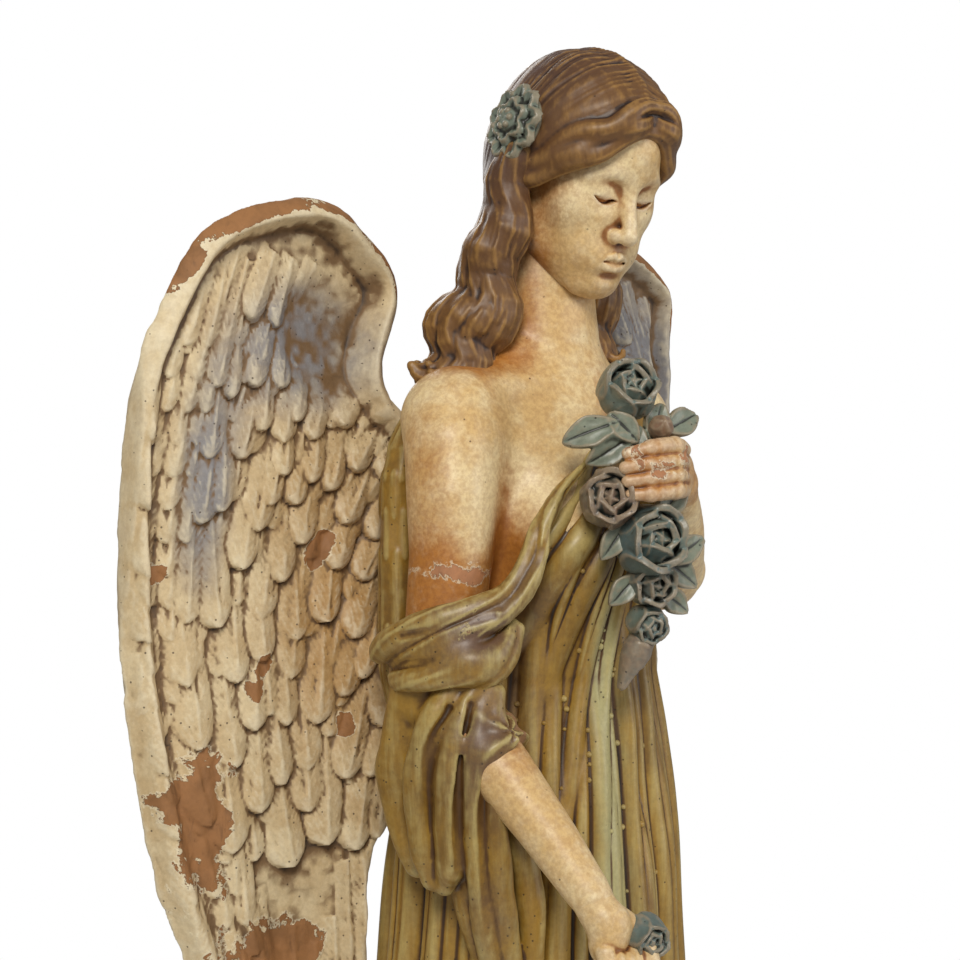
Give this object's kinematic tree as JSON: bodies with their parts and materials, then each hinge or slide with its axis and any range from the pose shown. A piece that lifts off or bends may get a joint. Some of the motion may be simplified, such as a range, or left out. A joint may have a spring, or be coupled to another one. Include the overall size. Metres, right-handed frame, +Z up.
{
  "type": "winged figure statue",
  "caption": "Standing draped winged figure with a bouquet at the chest, cast in painted sections pinned to a steel armature on an oval plinth.",
  "frame": {"origin": "centre of the plinth's underside", "axes": "+Z up, the figure faces -Y, her right hand side is -X"},
  "size_m": [0.3968, 0.27, 1.0043],
  "materials": {
    "skin_paint": "satin",
    "hair_paint": "satin",
    "gown_paint": "satin",
    "wing_paint": "satin",
    "rose_paint": "satin",
    "base_paint": "satin",
    "armature_steel": "satin",
    "pin_brass": "satin"
  },
  "bodies": {
    "root": {"armature_flange": "armature_steel", "armature_pipe": "armature_steel", "back_panel": "gown_paint", "base_mound": "base_paint", "base_plinth": "base_paint", "bouquet_leaves": "rose_paint", "bud_side": "rose_paint", "bud_tip": "rose_paint", "bust": "skin_paint", "clamp_nut": "armature_steel", "clamp_washer": "armature_steel", "elbow_dowels": "armature_steel", "elbow_wrap": "gown_paint", "gown_bodice": "gown_paint", "hair_back": "hair_paint", "hair_cap": "hair_paint", "hair_curl_left": "hair_paint", "hair_curl_right": "hair_paint", "hair_rosette": "rose_paint", "head": "skin_paint", "left_foot": "skin_paint", "left_forearm": "skin_paint", "left_hand": "skin_paint", "left_upper_arm": "skin_paint", "left_wing": "wing_paint", "right_foot": "skin_paint", "right_forearm": "skin_paint", "right_hand": "skin_paint", "right_upper_arm": "skin_paint", "right_wing": "wing_paint", "rose_drop": "rose_paint", "rose_hand": "rose_paint", "rose_large": "rose_paint", "rose_left": "rose_paint", "rose_low": "rose_paint", "rose_top": "rose_paint", "rosette_pin": "pin_brass", "shoulder_dowels": "armature_steel", "skirt": "gown_paint", "sleeve_drape": "gown_paint", "wing_dowels_left": "armature_steel", "wing_dowels_right": "armature_steel"}
  },
  "joints": []
}
